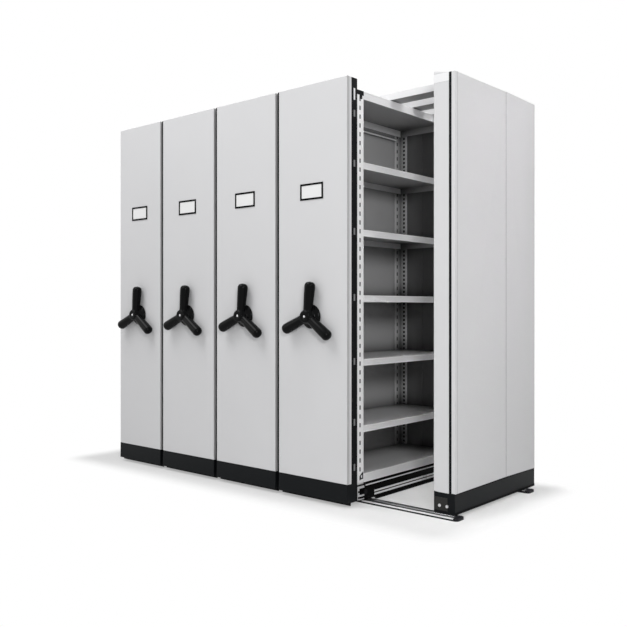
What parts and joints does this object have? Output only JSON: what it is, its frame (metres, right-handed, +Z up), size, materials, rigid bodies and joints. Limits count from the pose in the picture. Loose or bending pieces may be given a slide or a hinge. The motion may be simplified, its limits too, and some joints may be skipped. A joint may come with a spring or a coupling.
{
  "type": "mobile compact shelving",
  "caption": "Hand-cranked shelving carriages with plain front panels that roll on ground rails between fixed end units, opening one aisle at a time.",
  "frame": {"origin": "middle of the object's footprint, on the floor", "axes": "+Z up, +X along the rails from the closed carriages towards the open aisle, front panels face -Y"},
  "size_m": [2.946, 1.208, 2.4],
  "materials": {
    "panel_paint": "light grey powder coat, fine texture",
    "shelf_paint": "light grey powder coat, satin",
    "sheet_paint": "mid grey powder coat, satin",
    "black_paint": "black powder coat, satin",
    "rail_paint": "dark rolled steel, satin",
    "black_plastic": "black extruded plastic",
    "handle_plastic": "black moulded plastic, semi-gloss",
    "steel": "bright zinc-plated steel"
  },
  "bodies": {
    "frame": {"ground_rails": "rail_paint", "rail_bars": "steel", "end_posts": "panel_paint", "end_seals": "black_plastic", "end_cover_panels": "panel_paint", "end_bases": "black_paint", "overhead_ties": "panel_paint", "bolts": "steel"},
    "carriage_1": {"carriage_1_front_panel": "panel_paint", "carriage_1_plinth": "black_paint", "carriage_1_edge_seals": "black_plastic", "carriage_1_label_holder": "black_plastic", "carriage_1_drive_chain": "steel", "carriage_1_base_frame": "black_paint", "carriage_1_uprights": "shelf_paint", "carriage_1_shelves": "shelf_paint", "carriage_1_panels": "sheet_paint"},
    "crank_1": {"carriage_1_handle": "handle_plastic", "carriage_1_crank_shaft": "steel"},
    "drive_axle_1": {"carriage_1_drive_axle": "steel"},
    "idle_axle_1": {"carriage_1_idle_axle": "steel"},
    "carriage_2": {"carriage_2_front_panel": "panel_paint", "carriage_2_plinth": "black_paint", "carriage_2_edge_seals": "black_plastic", "carriage_2_label_holder": "black_plastic", "carriage_2_drive_chain": "steel", "carriage_2_base_frame": "black_paint", "carriage_2_uprights": "shelf_paint", "carriage_2_shelves": "shelf_paint", "carriage_2_panels": "sheet_paint"},
    "crank_2": {"carriage_2_handle": "handle_plastic", "carriage_2_crank_shaft": "steel"},
    "drive_axle_2": {"carriage_2_drive_axle": "steel"},
    "idle_axle_2": {"carriage_2_idle_axle": "steel"},
    "carriage_3": {"carriage_3_front_panel": "panel_paint", "carriage_3_plinth": "black_paint", "carriage_3_edge_seals": "black_plastic", "carriage_3_label_holder": "black_plastic", "carriage_3_drive_chain": "steel", "carriage_3_base_frame": "black_paint", "carriage_3_uprights": "shelf_paint", "carriage_3_shelves": "shelf_paint", "carriage_3_panels": "sheet_paint"},
    "crank_3": {"carriage_3_handle": "handle_plastic", "carriage_3_crank_shaft": "steel"},
    "drive_axle_3": {"carriage_3_drive_axle": "steel"},
    "idle_axle_3": {"carriage_3_idle_axle": "steel"},
    "carriage_4": {"carriage_4_front_panel": "panel_paint", "carriage_4_plinth": "black_paint", "carriage_4_edge_seals": "black_plastic", "carriage_4_label_holder": "black_plastic", "carriage_4_drive_chain": "steel", "carriage_4_base_frame": "black_paint", "carriage_4_uprights": "shelf_paint", "carriage_4_shelves": "shelf_paint", "carriage_4_panels": "sheet_paint"},
    "crank_4": {"carriage_4_handle": "handle_plastic", "carriage_4_crank_shaft": "steel"},
    "drive_axle_4": {"carriage_4_drive_axle": "steel"},
    "idle_axle_4": {"carriage_4_idle_axle": "steel"}
  },
  "joints": [
    {"name": "carriage_1_slide", "type": "slide", "parent": "frame", "child": "carriage_1", "axis": [1, 0, 0], "range_m": [0, 0.06]},
    {"name": "crank_1_turn", "type": "hinge", "parent": "carriage_1", "child": "crank_1", "pos_m": [-1.0085, -0.3345, 1.063], "axis": [0, 1, 0], "continuous": true},
    {"name": "drive_axle_1_turn", "type": "hinge", "parent": "carriage_1", "child": "drive_axle_1", "pos_m": [-0.867, -0.3345, 0.0583], "axis": [0, 1, 0], "continuous": true},
    {"name": "idle_axle_1_turn", "type": "hinge", "parent": "carriage_1", "child": "idle_axle_1", "pos_m": [-1.15, -0.3345, 0.0583], "axis": [0, 1, 0], "continuous": true},
    {"name": "carriage_2_slide", "type": "slide", "parent": "carriage_1", "child": "carriage_2", "axis": [1, 0, 0], "range_m": [0, 0.06]},
    {"name": "crank_2_turn", "type": "hinge", "parent": "carriage_2", "child": "crank_2", "pos_m": [-0.487, -0.3345, 1.063], "axis": [0, 1, 0], "continuous": true},
    {"name": "drive_axle_2_turn", "type": "hinge", "parent": "carriage_2", "child": "drive_axle_2", "pos_m": [-0.317, -0.3345, 0.0583], "axis": [0, 1, 0], "continuous": true},
    {"name": "idle_axle_2_turn", "type": "hinge", "parent": "carriage_2", "child": "idle_axle_2", "pos_m": [-0.657, -0.3345, 0.0583], "axis": [0, 1, 0], "continuous": true},
    {"name": "carriage_3_slide", "type": "slide", "parent": "carriage_2", "child": "carriage_3", "axis": [1, 0, 0], "range_m": [0, 0.06]},
    {"name": "crank_3_turn", "type": "hinge", "parent": "carriage_3", "child": "crank_3", "pos_m": [0.063, -0.3345, 1.063], "axis": [0, 1, 0], "continuous": true},
    {"name": "drive_axle_3_turn", "type": "hinge", "parent": "carriage_3", "child": "drive_axle_3", "pos_m": [0.233, -0.3345, 0.0583], "axis": [0, 1, 0], "continuous": true},
    {"name": "idle_axle_3_turn", "type": "hinge", "parent": "carriage_3", "child": "idle_axle_3", "pos_m": [-0.107, -0.3345, 0.0583], "axis": [0, 1, 0], "continuous": true},
    {"name": "carriage_4_slide", "type": "slide", "parent": "carriage_3", "child": "carriage_4", "axis": [1, 0, 0], "range_m": [0, 0.236]},
    {"name": "crank_4_turn", "type": "hinge", "parent": "carriage_4", "child": "crank_4", "pos_m": [0.613, -0.3345, 1.063], "axis": [0, 1, 0], "continuous": true},
    {"name": "drive_axle_4_turn", "type": "hinge", "parent": "carriage_4", "child": "drive_axle_4", "pos_m": [0.783, -0.3345, 0.0583], "axis": [0, 1, 0], "continuous": true},
    {"name": "idle_axle_4_turn", "type": "hinge", "parent": "carriage_4", "child": "idle_axle_4", "pos_m": [0.443, -0.3345, 0.0583], "axis": [0, 1, 0], "continuous": true}
  ],
  "couplings": [
    {"joint": "crank_1_turn", "follows": "carriage_1_slide", "rad_per_m": 33.333},
    {"joint": "drive_axle_1_turn", "follows": "carriage_1_slide", "rad_per_m": 25},
    {"joint": "idle_axle_1_turn", "follows": "carriage_1_slide", "rad_per_m": 25},
    {"joint": "crank_2_turn", "follows": "carriage_2_slide", "rad_per_m": 33.333},
    {"joint": "drive_axle_2_turn", "follows": "carriage_2_slide", "rad_per_m": 25},
    {"joint": "idle_axle_2_turn", "follows": "carriage_2_slide", "rad_per_m": 25},
    {"joint": "crank_3_turn", "follows": "carriage_3_slide", "rad_per_m": 33.333},
    {"joint": "drive_axle_3_turn", "follows": "carriage_3_slide", "rad_per_m": 25},
    {"joint": "idle_axle_3_turn", "follows": "carriage_3_slide", "rad_per_m": 25},
    {"joint": "crank_4_turn", "follows": "carriage_4_slide", "rad_per_m": 33.333},
    {"joint": "drive_axle_4_turn", "follows": "carriage_4_slide", "rad_per_m": 25},
    {"joint": "idle_axle_4_turn", "follows": "carriage_4_slide", "rad_per_m": 25}
  ]
}
